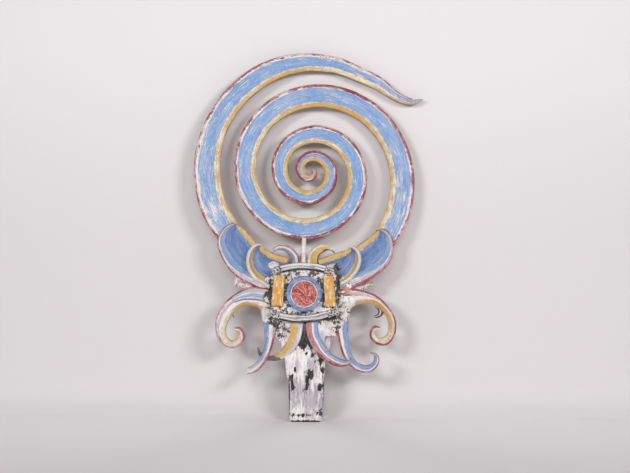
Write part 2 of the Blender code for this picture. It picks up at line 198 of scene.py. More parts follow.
class Paintwork:
    """Wires up the nodes of one material with short calls."""

    def __init__(self, name):
        self.material = bpy.data.materials.new(name)
        self.material.use_nodes = True
        self.tree = self.material.node_tree
        self.shader = self.tree.nodes["Principled BSDF"]

    def node(self, kind, *values, **settings):
        """Add a node with its settings, and link or set its inputs in order."""
        node = self.tree.nodes.new(kind)
        for key, value in settings.items():
            setattr(node, key, value)
        enabled = (index for index, socket in enumerate(node.inputs) if socket.enabled)
        return self.feed(node, zip(enabled, values))

    def feed(self, node, inputs):
        """Link signals to a node's inputs, or set the inputs' own values."""
        for key, value in inputs:
            if isinstance(value, Signal):
                self.tree.links.new(value.socket, node.inputs[key])
            else:
                node.inputs[key].default_value = shade(value)
        return node

    def signals(self, node, *keys):
        """Give some of a node's outputs."""
        return [Signal(self, node.outputs[key]) for key in keys]

    def attribute(self, name):
        """Read a mesh attribute: its vector and its four separate numbers."""
        node = self.node("ShaderNodeAttribute", attribute_name=name)
        vector, colour, alpha = self.signals(node, "Vector", "Color", "Alpha")
        parts = self.node("ShaderNodeSeparateColor", colour)
        return vector, (*self.signals(parts, 0, 1, 2), alpha)

    def place(self):
        """Give the place on the object, and its own x, y and z."""
        place, = self.signals(self.node("ShaderNodeTexCoord"), "Object")
        return place, self.signals(self.node("ShaderNodeSeparateXYZ", place), 0, 1, 2)

    def math(self, operation, *values):
        """Work out one number."""
        return self.signals(self.node("ShaderNodeMath", *values, operation=operation), 0)[0]

    def mix(self, share, first, second):
        """Mix two colours."""
        node = self.node("ShaderNodeMix", data_type="RGBA")
        return self.signals(self.feed(node, ((0, share), (6, first), (7, second))), 2)[0]

    def coats(self, colour, *coats):
        """Lay coats over a colour, each (colour, share) or (colour, value, low, high, most).

        The second kind shows more as the value goes from low to high, up to the most.
        """
        for over, value, *reach in coats:
            share = value.fade(*reach[:2], 0, *reach[2:]) if reach else value
            colour = self.mix(share, colour, over)
        return colour

    def ramp(self, value, stops, sharp=False):
        """Read a colour from (position, colour) stops."""
        node = self.node("ShaderNodeValToRGB", value)
        node.color_ramp.interpolation = "CONSTANT" if sharp else "LINEAR"
        elements = node.color_ramp.elements
        first, *others, last = [(position, shade(colour)) for position, colour in stops]
        elements[0].position, elements[0].color = first
        elements[1].position, elements[1].color = last
        for position, colour in others:
            elements.new(position).color = colour
        return self.signals(node, "Color")[0]

    def finish(self, colour, roughness, height, reach):
        """Send the colour, roughness and height to the surface."""
        bump = self.feed(self.node("ShaderNodeBump"), (
            ("Strength", 1), ("Distance", reach), ("Height", height)))
        self.feed(self.shader, (
            ("Base Color", colour), ("Roughness", roughness),
            ("Normal", self.signals(bump, 0)[0]), ("Specular IOR Level", 0.35)))
        return self.material


BLUE = "#7a9ed2"
# Blues of a calyx's scoop: paler on its wall and deeper on its floor, partly their own paint and
# partly painted light and painted shade of the hollow.
DEEP_BLUE_AND_SHADE = "#5f7fb4"
PALE_LIT_BLUE = "#88a8d4"
CRIMSON = "#963a46"
PINK = "#d0a0a6"
ROSE = "#f0d0d0"
OCHRE = "#daa85a"
DULL_OCHRE = "#a07c4c"
CREAM = "#fcedce"
PRIMER = "#f2ebea"
LAVENDER = "#c6bcc4"
SILVER = "#d4ced2"
# Painted shade: the hooks' dark undersides and the tendrils.
SHADE_GREY = "#302e30"
BARE_WOOD = "#b0927a"
OLD_WOOD = "#847468"
DARK_WOOD = "#605046"


def begin(name):
    """Start a paint: give its wiring, its grain and the four numbers of the paint attribute."""
    work = Paintwork(name)
    return work, work.attribute("grain")[0], work.attribute("paint")[1]


def flaked_surface(work):
    """Give the share, colour, darkness and relief of primer flaking off charred timber."""
    place, (_, _, height) = work.place()
    _, (flaked, charred, torn, _) = work.attribute("flake")
    charring = charred - 0.5
    block = height.fade(0.22, 0.3)
    low = height.fade(0.03, 0.06) * height.fade(0.145, 0.1)
    small = place.noise((100, 100, 88), 5, 0.68)
    flakes = work.mix(block, place.noise((95, 95, 40), 5, 0.6), small)
    fine = place.noise((260, 260, 150), 4, 0.7)
    strokes = place.noise((300, 300, 30), 3, 0.6)
    tint = place.noise((50, 50, 12)) + 0.1 * low
    stain = place.noise((90, 90, 60), 4, 0.65)
    dark = (0.25 * fine + 0.75 * flakes + charring).fade(0.52, 0.535)
    dragged = (strokes - 0.06 * block).fade(0.48, 0.62) * (0.4 + 0.35 * low - 0.2 * block)
    white = work.coats(
        PRIMER, ("#b0a8b6", tint.fade(0.46, 0.62) * (0.85 - 0.5 * block)),
        ("#8c848c", dragged), ("#e0c2ac", fine, 0.46, 0.32, 0.85),
        ("#b09682", block * stain.fade(0.53, 0.61, 0, 0.5)),
        ("#423e41", fine + 0.5 * charring, 0.585, 0.615, 0.9))
    char = work.coats("#1c1b1e", ("#4a4649", fine, 0.42, 0.64))
    ash = work.coats("#323034", ("#686364", fine, 0.42, 0.6))
    heart = work.coats(
        "#846652", ("#d6b89e", place.noise((24, 24, 240)), 0.34, 0.6))
    brown = (0.3 + 0.35 * block) * flakes.fade(0.54, 0.64)
    char = work.coats(char, (ash, block), ("#76665c", brown))
    colour = work.coats(white, (char, dark), (heart, 0.8 * flakes + torn, 0.72, 0.8))
    return (0.9 * flakes + flaked).fade(0.9, 0.95), colour, dark, 0.3 * strokes - dark


def weathered_back(work, bare, grain, colour):
    """Lay bare, greyed timber over a colour towards the back, and give its share too."""
    fibres = grain.noise((12, 520, 260))
    blotches = grain.noise((60, 120, 1))
    wood = work.coats(
        DARK_WOOD, (OLD_WOOD, fibres, 0.35, 0.65), (BARE_WOOD, blotches, 0.55, 0.7, 0.4))
    share = (bare + (blotches - 0.5)).fade(0.42, 0.5)
    return share, work.mix(share, colour, wood)


def painted_wood(name, zones):
    """Paint carved timber in zones across its section, worn through to the primer.

    Each zone is (paint place that it starts at, paint, primer under it, extra wear).
    """
    work, grain, (place, bare, rim_wear, face_wear) = begin(name)
    _, (_, _, _, bevel_wear) = work.attribute("flake")
    edge = 0.12 * grain.noise((60, 90, 1), 2) + (place - 0.06)
    starts, paints, primers, extras = zip(*zones)
    paint, primer, bias = (
        work.ramp(0.2 * edge, [(start / 5, given) for start, given in zip(starts, column)], True)
        for column in (paints, primers, [grey(extra + 0.5) for extra in extras]))
    on_face = place.fade(1.9, 2.1)
    ridge = work.math("PINGPONG", place, 0.5).fade(0, 0.1, 0.34, 0) * place.fade(1.4, 1.8)
    slow = grain.noise((22, 40, 1), 2) - 0.5
    wear = work.coats(rim_wear, (face_wear, place, 1.95, 2.05), (bevel_wear, place, 2.95, 3.05))
    wear = wear + bias + (ridge - 1) + slow * (1.5 - 0.7 * on_face)
    streaks = grain.noise((22, 560, 1), 4, 0.66)
    chips = grain.noise((110, 230, 1), 4, 0.68)
    exposed = 0.45 * wear + work.math("MAXIMUM", streaks, chips - 0.085 * on_face + 0.03)
    brush = grain.noise((14, 700, 1), 2)
    mottle = grain.noise((75, 210, 1), 4, 0.7)
    # Painted shade along the zone borders from the face on, where the bevel and wall meet it in
    # creases, mixed with mottled grime; it darkens both the paint and the primer.
    crease_shade_and_grime = abs(edge - work.math("ROUND", edge)).fade(0, 0.14, 0.16, 0) + mottle
    crease_shade_and_grime = crease_shade_and_grime.fade(0.56, 0.7) * place.fade(1.8, 2.2)
    paint = work.coats(
        paint, (primer, grain.noise((9, 60, 1)), 0.38, 0.72, 0.2),
        (grey(0.02), brush, 0.65, 0.35, 0.2), (primer, exposed, 0.56, 0.64, 0.35),
        ("#605454", 0.4 * crease_shade_and_grime), (primer, mottle, 0.46, 0.34, 0.26))
    primer = work.coats(
        primer, (OLD_WOOD, brush, 0.6, 0.4, 0.08), ("#ecd4c6", mottle, 0.48, 0.36, 0.4),
        ("#786c70", 0.5 * crease_shade_and_grime))
    through = exposed.fade(0.635, 0.65)
    deep = (exposed - 0.45 * ridge).fade(0.82, 0.84)
    flaked, flaked_colour, _, relief = flaked_surface(work)
    back, colour = weathered_back(work, bare, grain, work.coats(
        paint, (primer, through), (DARK_WOOD, deep), (flaked_colour, flaked)))
    lost = work.math("MAXIMUM", through, back)
    roughness = 0.5 + 0.2 * work.math("MAXIMUM", lost, flaked)
    height = 0.3 * brush + (relief * flaked - 0.5 * (lost + deep))
    return work.finish(colour, roughness, height, 0.0006)


def flaked_wood(name):
    """Primer flaking off charred timber, with bare wood at the back."""
    work, grain, (_, bare, _, _) = begin(name)
    _, colour, dark, relief = flaked_surface(work)
    _, colour = weathered_back(work, bare, grain, colour)
    return work.finish(colour, 0.64 + 0.12 * dark, relief, 0.0009)


def silvered_wood(name):
    """Silvery white paint rubbed along a half-round strip, with painted highlight bands and painted
    shade along its lower side, and nail heads.
    """
    work, grain, (turn, round_part, nail, _) = begin(name)
    streaks = grain.noise((16, 330, 1), 4, 0.6)
    specks = grain.noise((170, 260, 1), 4, 0.65)
    # Painted highlight and painted shade round the section: bright bands over the upper half and
    # the middle, dark at the top edge and along the lower third, broken by streaks.
    body = work.ramp(0.8 * (streaks - 0.5) + turn, (
        (0, "#3c373a"), (0.1, "#968e92"), (0.2, "#f8f4f5"),
        (0.33, "#f0eaec"), (0.4, "#968e94"), (0.46, "#80787e"),
        (0.54, "#d6ced0"), (0.6, "#f4eeee"), (0.67, "#786e72"),
        (0.76, "#3e373a"), (0.86, "#2c2729"), (1, "#1e1b1c")))
    colour = work.coats(
        "#d8cac8", ("#564e4e", specks, 0.46, 0.52), (body, round_part, 0.2, 0.7),
        ("#5a5258", specks, 0.66, 0.69, 0.8), ("#282424", nail, 0.35, 0.6))
    return work.finish(colour, 0.28 + 0.25 * specks, 0.4 * specks + streaks, 0.0006)


def tablet_paint(name):
    """Ochre rubbed to cream and olive, with its edges worn."""
    work, grain, (_, inland, _, _) = begin(name)
    edge = inland.fade(0.12, 0.5, 0.05, 0)
    chips = grain.noise((120, 170, 1), 4, 0.65)
    chipped = chips + edge
    worn = grain.noise((30, 130, 1), 4, 0.62) + edge
    colour = work.coats(
        "#da9432", ("#d6a662", grain.noise((25, 60, 1), 2), 0.42, 0.6),
        ("#ecd4b0", worn, 0.5, 0.6, 0.9), ("#ac743c", inland, 0.22, 0.08, 0.75),
        ("#9e8a4a", grain.noise((70, 150, 1)), 0.56, 0.64, 0.5),
        (PRIMER, chipped, 0.63, 0.66), (OLD_WOOD, chipped, 0.76, 0.79))
    return work.finish(colour, 0.35 + 0.3 * chips, -1 * worn, 0.0008)


def turned_paint(name):
    """A blue ring, a rubbed white bead and a crimson disc scratched to pink and ochre."""
    work, grain, (place, _, _, _) = begin(name)
    chips = grain.noise((150, 150, 1), 4, 0.65)
    wide = grain.noise((45, 45, 1))
    scratches = abs(grain.noise((58, 58, 1), 2) - 0.5)
    nicks = abs(grain.noise((60, 110, 3), 2) - 0.48)
    blue = work.coats(
        "#6279a4", ("#8c9cbe", wide, 0.35, 0.65),
        ("#aab4cc", chips, 0.56, 0.6, 0.5), (PRIMER, chips, 0.64, 0.67))
    red = work.coats(
        "#92303e", ("#ac4e58", wide, 0.35, 0.62),
        ("#e49e9c", scratches, 0.034, 0.012, 0.85),
        ("#d89e5c", nicks, 0.018, 0.008, 0.8), ("#e2bea0", chips, 0.6, 0.63))
    white = work.coats(PRIMER, (PINK, chips, 0.45, 0.6))
    colour = work.coats(blue, (white, place, 1.8, 1.92), (red, place, 2.46, 2.58))
    return work.finish(colour, 0.5, scratches - 0.7 * chips, 0.0008)


ZONES = {
    "blue_band": (
        (0, CRIMSON, PINK, 0.1), (1, CRIMSON, ROSE, 0.02), (1.75, CRIMSON, PRIMER, 0.16),
        (1.97, BLUE, PRIMER, 0.06), (2.93, BLUE, CREAM, 0.12), (3.02, OCHRE, CREAM, 0.08),
        (4, DULL_OCHRE, CREAM, 0)),
    "calyx": (
        (0, CRIMSON, PINK, 0.05), (1.9, PRIMER, LAVENDER, 0), (2.1, PALE_LIT_BLUE, PRIMER, 0),
        (2.33, DEEP_BLUE_AND_SHADE, SILVER, -0.1), (2.85, BLUE, PRIMER, -0.05), (3, OCHRE, CREAM, 0.05),
        (4, DULL_OCHRE, CREAM, 0)),
    "inner_calyx": (
        (0, SILVER, PRIMER, 0.1), (2.09, OCHRE, CREAM, 0), (2.36, DEEP_BLUE_AND_SHADE, PRIMER, -0.05),
        (2.95, OCHRE, CREAM, 0.05), (4, DULL_OCHRE, CREAM, 0)),
    "scroll": (
        (0, CRIMSON, PINK, 0.05), (1.75, PINK, PRIMER, 0.12), (2.42, PRIMER, LAVENDER, 0),
        (2.97, OCHRE, CREAM, 0.08), (4, DULL_OCHRE, CREAM, 0.05)),
    # The sheath's inner bevel is dark wood from place 3.3 on: a painted shadow line under the
    # raised sheath.
    "sheath": (
        (0, CRIMSON, PINK, 0.1), (1.5, LAVENDER, SILVER, 0), (2.3, PRIMER, LAVENDER, 0),
        (2.45, BLUE, PRIMER, 0.06), (2.85, SILVER, PRIMER, 0), (3.3, DARK_WOOD, SILVER, 0.1)),
    "blue_leaf": (
        (0, CRIMSON, PINK, 0), (1.95, PRIMER, LAVENDER, 0.1), (2.95, BLUE, PRIMER, 0.05),
        (4, DULL_OCHRE, BLUE, 0)),
    "red_leaf": (
        (0, CRIMSON, PINK, 0), (1.9, "#c47a84", PINK, 0.1), (2.5, PRIMER, CREAM, 0),
        (2.9, BLUE, PRIMER, 0), (4, DULL_OCHRE, BLUE, 0)),
    "ochre_leaf": (
        (0, LAVENDER, PRIMER, 0.1), (2.9, OCHRE, CREAM, 0), (4, DULL_OCHRE, CREAM, 0)),
    "grey_hook": (
        (0, CRIMSON, PINK, 0.1), (1.7, PRIMER, PINK, 0.1), (2.9, "#808ca6", SILVER, 0.1),
        (4, OLD_WOOD, SILVER, 0)),
    # The right hook's inner bevel is painted shade from place 3.3 on: its dark underside.
    "ochre_hook": (
        (0, PINK, PRIMER, 0.2), (1.5, SILVER, PRIMER, 0.1), (2, OCHRE, CREAM, 0),
        (3.3, SHADE_GREY, CREAM, -0.1)),
    # The tendrils: painted shade in dark grey, with a silver band across the face as a painted
    # highlight.
    "shaded_highlit_hook": (
        (0, SHADE_GREY, OLD_WOOD, 0), (2.55, SILVER, PRIMER, 0), (3.2, SHADE_GREY, OLD_WOOD, 0)),
}
PAINTS = {name: painted_wood(name, zones) for name, zones in ZONES.items()}
PAINTS["flaked"] = flaked_wood("flaked")
CARVED_PAINTS = list(PAINTS)
PAINTS["silvered"] = silvered_wood("silvered")
PAINTS["ochre_tablet"] = tablet_paint("ochre_tablet")
PAINTS["turned"] = turned_paint("turned")


# ---------------------------------------------------------------- shaping

SPIRAL_CENTRE = (16.5, 753.5)
SPIRAL_START, SPIRAL_END, SPIRAL_STEP, SPIRAL_SAG = -45, 1125, 0.5, 3.6
BAND_STEPS, ARC_STEPS, MOUTH_STEPS = 24, 2, 6
MOUTH_LAP = 5
# How a form is cut where its own shape says nothing else, in millimetres or as a share.  A value
# may change along the form: then it is stops, each a share of the length and a value, in turn.
# A form with a lip is cupped inside it, down a wall.
PLAIN_SHAPE = {
    "thin_tip": 0.55, "sink": 0, "lean": 0, "tip_width": 1, "bare": 0,
    "rim": 9, "rim_most": 0.22, "rim_drop": 6, "rim_wear": 0.5,
    "bevel": 15, "bevel_most": 0.34, "bevel_drop": 13, "bevel_wear": 0.5,
    "hollow": 3.5, "full_width": 45, "floor_rise": 0, "face_wear": 0.5,
}
CHAMFER, ROOT_SHARE = 4, 0.15
CARVED_CREASE, APPLIED_CREASE = 48, 50
UNFLAKED = (0, 0.5, 0, 0.5)


def curve_through(path, steps):
    """Read a smooth curve through the given points, with the same steps in every span."""
    knots = [Vector(point) for point in path]
    ends = [2 * knots[0] - knots[1]] + knots + [2 * knots[-1] - knots[-2]]
    curve = []
    for before, start, stop, after in zip(ends, ends[1:], ends[2:], ends[3:]):
        for step in range(steps):
            t = step / steps
            pull = (-t + 2 * t**2 - t**3) * before + (t**3 - t**2) * after
            hold = (2 - 5 * t**2 + 3 * t**3) * start + (t + 4 * t**2 - 3 * t**3) * stop
            curve.append((pull + hold) / 2)
    return curve + [knots[-1]]


def points(numbers):
    """Pair up numbers given in turn."""
    return list(zip(numbers[::2], numbers[1::2]))


def edge_pair(name, steps=BAND_STEPS):
    """Read both edge curves of an outline."""
    return list(zip(*(curve_through(points(edge), steps) for edge in OUTLINES[name])))


def polar(angle, radius, drop=0):
    """Give the point at an angle and a radius about the eye of the spiral."""
    turn = math.radians(angle)
    x, z = SPIRAL_CENTRE
    return Vector((x + radius * math.cos(turn), z - drop + radius * math.sin(turn)))


def spiral_edges():
    """Work out the spiral from its calyx inwards."""
    edges = []
    for index in range(round((SPIRAL_END - SPIRAL_START) / SPIRAL_STEP) + 1):
        angle = SPIRAL_START + index * SPIRAL_STEP
        turns = (SPIRAL_END - angle) / 360
        middle = 6 + 42.5 * turns + 4.45 * turns**3
        half = (8.5 + 29.5 * turns - 2.9 * turns**2) / 2
        drop = SPIRAL_SAG * turns
        edges.append((polar(angle, middle + half, drop), polar(angle, middle - half, drop)))
    return edges


def tail_edges():
    """Follow the outer arc from the left calyx over the top, then the turned-up tip."""
    arc = curve_through(TAIL_ARC, ARC_STEPS)
    edges = ([polar(angle, outer) for angle, outer, _ in arc],
             [polar(angle, inner) for angle, _, inner in arc])
    return list(zip(*(curve_through(edge + points(tip), BAND_STEPS)
                      for edge, tip in zip(edges, OUTLINES["tail_tip"]))))


def between(stops, share):
    """Read a value from a few stops, or give a plain number as it is."""
    if isinstance(stops, (int, float)):
        return stops
    pairs = points(stops)
    for (low, start), (high, stop) in zip(pairs, pairs[1:]):
        if share <= high:
            return start + (stop - start) * (share - low) / (high - low)
    return stops[-1]


def face_stops(face, cut):
    """Give (paint place, distance over the face, depth share) across the hollowed face."""
    if "lip" not in cut:
        return ((2.3, 0.3 * face, 0.85), (2.7, 0.7 * face, 0.9))
    lip = min(cut["lip"], 0.3 * face)
    wall = min(cut["wall"], 0.35 * (face - lip))
    rest = face - lip - wall
    return ((2.1, lip, 0.05), (2.2, lip + 0.35 * wall, 0.5), (2.36, lip + wall, 0.92),
            (2.6, lip + wall + 0.4 * rest, 1), (2.85, lip + wall + 0.8 * rest, 0.6))


def section(width, front, back, share, cut):
    """Give (paint place, distance from the convex edge, depth, bareness) round one section.

    The paint place runs 0 to 1 up the convex wall, 1 to 2 over the rim, 2 to 3 over the face,
    3 to 4 over the inner bevel and 4 to 5 down the concave wall.  The back is bare.
    """
    rim = min(cut["rim"], cut["rim_most"] * width)
    bevel = min(cut["bevel"], cut["bevel_most"] * width)
    chamfer = min(CHAMFER, 0.2 * width)
    rising = cut["floor_rise"] * max(0, (share - 0.6) / 0.4) ** 2
    hollow = cut["hollow"] * min(1, width / cut["full_width"]) * (1 - rising)
    rim_low = front + cut["rim_drop"] * min(1, rim / 9)
    bevel_low = front + cut["bevel_drop"] * min(1, bevel / 17)
    return soften([
        (0, 0, back - chamfer, 0.75),
        (0.5, 0, (rim_low + back) / 2, 0.4),
        (1, 0, rim_low, 0),
        (1.5, 0.45 * rim, front + 0.4 * (rim_low - front), 0),
        (2, rim, front, 0),
        *((place, rim + across, front + deep * hollow, 0)
          for place, across, deep in face_stops(width - rim - bevel, cut)),
        (3, width - bevel, front, 0),
        (3.5, width - 0.5 * bevel, front + 0.5 * (bevel_low - front), 0),
        (4, width, bevel_low, 0),
        (4.5, width, (bevel_low + back) / 2, 0.45),
        (5, width, back - chamfer, 0.8),
        (5, width - chamfer, back, 1),
        (0, chamfer, back, 1),
    ])


def soften(corners, share=0.22):
    """Round every corner of a closed section by cutting it once."""
    rounded = []
    for here, ahead in zip(corners, corners[1:] + corners[:1]):
        for start, stop in ((here, ahead), (ahead, here)):
            rounded.append(tuple(a + share * (b - a) for a, b in zip(start, stop)))
    return rounded


def spaced(edges, spacing):
    """Keep the sections of a finely read band that lie about one spacing apart."""
    kept = [edges[0]]
    for pair in edges[1:-1]:
        if ((pair[0] + pair[1]) / 2 - (kept[-1][0] + kept[-1][1]) / 2).length >= spacing:
            kept.append(pair)
    return kept + [edges[-1]]


def hand_worn(place, seed, size, depth):
    """Give the small unevenness of hand carving at a place."""
    x, y, z = place
    return depth * noise.noise(Vector((x / size, y / size, z / size + seed)))


def placed(name, data):
    """Put a mesh, light or camera into the scene."""
    thing = bpy.data.objects.new(name, data)
    bpy.context.scene.collection.objects.link(thing)
    return thing


def closed_mesh(name, vertices, faces):
    """Make a closed mesh whose faces all look outwards."""
    mesh = bpy.data.meshes.new(name)
    mesh.from_pydata(vertices, [], faces)
    bm = bmesh.new()
    bm.from_mesh(mesh)
    bmesh.ops.recalc_face_normals(bm, faces=bm.faces)
    bm.to_mesh(mesh)
    bm.free()
    return mesh


def form_object(name, spots, faces, paint_name):
    """Make one closed form, in metres, with what its paint needs stored on its corners.

    Each spot has its place, its grain, which is (mm along, mm across, seed), its paint, which is
    (paint place, bareness, rim wear, face wear), and perhaps its flake, which is (share flaked,
    share of charred ground showing, share torn to the heartwood, bevel wear).
    """
    places, grain, paint, flake = zip(*((*spot, UNFLAKED)[:4] for spot in spots))
    mesh = closed_mesh(name, [(x * MM, y * MM, z * MM) for x, y, z in places], faces)
    names = CARVED_PAINTS if paint_name in CARVED_PAINTS else [paint_name]
    for other in names:
        mesh.materials.append(PAINTS[other])
    mesh.polygons.foreach_set("material_index", [names.index(paint_name)] * len(faces))
    corners = [loop.vertex_index for loop in mesh.loops]
    for key, kind, part, values in (
            ("grain", "FLOAT_VECTOR", "vector", [(u * MM, v * MM, seed) for u, v, seed in grain]),
            ("paint", "FLOAT_COLOR", "color", paint), ("flake", "FLOAT_COLOR", "color", flake)):
        layer = mesh.attributes.new(key, kind, "CORNER")
        layer.data.foreach_set(part, [number for corner in corners for number in values[corner]])
    return placed(name, mesh)


def sweep(name, edges, depths, paint_name, shape, mouth):
    """Carve a band between two edge curves, with uneven hand-cut faces and nicked ridges."""
    front, back = depths
    seed = float(len(name) * 7 + ord(name[0]))
    widest = max((convex - concave).length for convex, concave in edges)
    spots, travelled, last = [], 0, None
    for index, (convex, concave) in enumerate(edges):
        middle = (convex + concave) / 2
        travelled += (middle - last).length if last else 0
        last = middle
        width = max((concave - convex).length, 1)
        direction = (concave - convex).normalized()
        share = index / (len(edges) - 1)
        cut = {key: between(stops, share) for key, stops in (PLAIN_SHAPE | shape).items()}
        slim = 1 - cut["thin_tip"] * (1 - min(1, 2 * width / widest))
        centre = (front + back) / 2 + cut["sink"] * max(0, 1 - share / ROOT_SHARE)
        centre -= cut["lean"] * share**2
        half = (back - front) / 2 * slim
        closing = min(1, width / cut["tip_width"])
        for place, across, depth, bare in section(width, centre - half, centre + half, share, cut):
            spot = convex + across * direction
            point = Vector((spot.x, depth, spot.y))
            along = Vector((travelled, across, depth))
            ridge = max(0, 1 - 8 * abs(place - round(place))) if 1.5 < place < 3.5 else 0
            nick = ridge * max(0, hand_worn(along, seed, 9, 5) - 1.2)
            point.y += hand_worn(along, seed + 3, 26, 0.9) + nick
            sway = hand_worn(along, seed + 11, 34, 0.8) * min(1, width / 20)
            point.x += direction.x * sway
            point.z += direction.y * sway
            if mouth and inside(spot, mouth[0]):
                point.y = max(point.y, mouth[1])
            if 2 < place < 3:
                place = 2 + (place - 2) * closing
            wall = (place > 3.5) - (place < 1.5) if bare < 0.9 else 0
            unrolled = across + wall * (depth - centre + half)
            spots.append((point, (travelled, unrolled, seed),
                          (place, max(bare, cut["bare"]), cut["rim_wear"], cut["face_wear"]),
                          (*flaking(point), cut["bevel_wear"])))
    return form_object(name, spots, ring_faces(len(edges), len(spots) // len(edges)), paint_name)


def ring_faces(rings, count):
    """Give the side faces between rings of vertices, and the two end faces."""
    faces = []
    for ring in range(rings - 1):
        for step in range(count):
            here, ahead = ring * count + step, ring * count + (step + 1) % count
            faces.append((here, ahead, ahead + count, here + count))
    return faces + [tuple(reversed(range(count))), tuple(range((rings - 1) * count, rings * count))]


def inside(spot, outline):
    """Tell whether a place lies inside a closed outline."""
    crossings = 0
    for (x1, z1), (x2, z2) in zip(outline, outline[1:] + outline[:1]):
        if (z1 > spot.y) != (z2 > spot.y):
            crossings += spot.x < x1 + (spot.y - z1) * (x2 - x1) / (z2 - z1)
    return crossings % 2 == 1


def mouth_of(name, depth):
    """Give the space inside a calyx's lip, where the band that grows out of it is cut away."""
    convex, concave = [], []
    for outer, inner in edge_pair(name, MOUTH_STEPS):
        reach = min(MOUTH_LAP, 0.3 * (inner - outer).length) * (inner - outer).normalized()
        convex.append(tuple(outer + reach))
        concave.append(tuple(inner - reach))
    return convex + concave[::-1], depth


def arch(x_start, x_stop, z_ends, rise, steps=12):
    """Give points on a shallow arch between two points at one height."""
    shares = [index / steps for index in range(steps + 1)]
    return [(x_start + t * (x_stop - x_start), z_ends + rise * 4 * t * (1 - t)) for t in shares]


BLOCK = arch(-100, 96, 450, 22) + arch(98, -106, 330, -24)
# What the core is cut from: its front, its back, and x and z in turn round its outline.
CORE_FORMS = (
    (-54.2, 45),  # block, whose outline is BLOCK
    (-45, 45, -43, 0, 48, 0, 52, 6, 54, 64, 56, 118, 58.5, 172, 58.5, 330, -60, 330, -62, 182, -58,
     150, -52, 116, -50, 70, -48, 6),  # foot
    (-30, 40, -140, 410, -108, 440, -60, 470, 55, 470, 105, 440, 140, 410, 130, 340, 118, 305, 60,
     290, 0, 300, -60, 290, -118, 305, -134, 340),  # backboard
    (-38, 6, -125, 310, -43, 310, -50, 262, -66, 224, -74, 214, -72, 227, -84, 248,
     -96, 255),  # left skirt
    (-38, 6, 30, 310, 98, 310, 96, 257, 78, 252, 44, 262),  # right skirt
    (-24, -4, 34, 280, 80, 280, 79, 246, 71, 208, 52, 236),  # right tongue
    (-14, 8, -150, 390, -215, 401, -214, 434, -165, 430),  # left spike
    (-14, 8, 135, 386, 168, 389, 209, 408, 206, 418, 156, 406, 140, 408),  # right spike
    (-18, 8, -15, 460, 2, 460, 1, 500, 3, 552, -11, 552, -14, 500),  # strut
)
CORE_VOXEL, CORE_SOFTENINGS = 3.6, 2
# Where the charred ground shows most: x, z, half width, half height, strength.
DARK_PATCHES = (
    (-31, 158, 3.5, 10, 0.34), (-35, 134, 9, 11, 0.28), (-38, 107, 5.5, 19, 0.32),
    (13, 141, 9.5, 16, 0.3), (4, 108, 5, 18, 0.32), (44, 104, 6, 13, 0.32), (40, 180, 14, 17, 0.22),
    (49, 154, 4.5, 10, 0.22), (2, 203, 6, 7, 0.24), (20, 198, 5, 6, 0.24), (9, 175, 4.5, 8, 0.2),
    (-2, 21, 42, 5, 0.17), (40, 30, 12, 16, 0.08), (-5, 246, 24, 30, 0.3), (-50, 60, 3, 60, 0.24),
    (55, 70, 3, 70, 0.24), (2, 1, 60, 4, 0.34), (-4, 388, 88, 54, 0.12), (62, 312, 30, 12, 0.15),
    (-88, 296, 22, 16, 0.12), (88, 460, 20, 18, 0.06), (-116, 387, 9, 10, 0.2),
    (98, 400, 6, 40, 0.18), (-104, 400, 5, 40, 0.1), (88, 285, 10, 30, 0.08),
    (-80, 262, 24, 24, 0.04), (-112, 350, 14, 34, 0.03), (120, 346, 16, 34, 0.03),
    (-101, 290, 12, 14, 0.14), (-112, 312, 10, 8, 0.1), (93, 460, 10, 13, 0.12),
)
# Where the primer is whole.
PALE_PATCHES = (
    (-33, 131, 3, 11, 0.4), (-10, 75, 50, 34, 0.06), (-10, 186, 26, 34, 0.1),
    (-34, 190, 22, 24, 0.1), (-26, 338, 22, 5, 0.2), (34, 338, 22, 5, 0.2),
    (150, 360, 34, 30, 0.14), (-97, 468, 16, 14, 0.07), (-80, 300, 16, 12, 0.05),
    (52, 280, 16, 22, 0.1), (-6, 505, 14, 60, 0.2), (-124, 328, 11, 20, 0.3),
    (70, 454, 12, 14, 0.3), (-168, 398, 50, 16, 0.05),
)
# Where the bands have lost their colour as the block has.
FLAKED_PATCHES = (
    (97, 291, 13, 15, 1), (-96, 468, 20, 13, 1), (86, 461, 24, 15, 1), (-112, 316, 30, 24, 1),
    (-108, 374, 22, 20, 1), (120, 330, 36, 32, 1.1), (126, 372, 20, 20, 1.1),
    (-80, 300, 20, 26, 0.9), (82, 300, 18, 20, 0.8),
)


def patched(place, patches):
    """Add up the soft patches that reach a place."""
    return sum(strength * math.exp(-((place.x - x) / half_x) ** 2 - ((place.z - z) / half_z) ** 2)
               for x, z, half_x, half_z, strength in patches)


def torn_wood(place):
    """Tell how much a place is split, unpainted wood: by the right scroll and on the spikes."""
    if place.y > 0:
        return 0
    reach = ((place.x - 124) / 24) ** 2 + ((place.z - 389) / 12) ** 2
    spikes = 0.32 if abs(place.x) > 170 and 384 < place.z < 436 else 0
    return max(spikes, min(1, 1.6 - reach))


def flaking(place):
    """Tell how flaked, how charred and how torn the timber is at a place."""
    reach = abs((place.x + 1) / 106) ** 4 + abs((place.z - 386) / 80) ** 3
    flaked = min(1, max(0, 2.2 - 1.8 * reach) + patched(place, FLAKED_PATCHES))
    ground = 0.42 + 0.06 * max(0, min(1, (place.z - 200) / 60))
    charred = ground + patched(place, DARK_PATCHES) - patched(place, PALE_PATCHES)
    return flaked, charred, torn_wood(place)


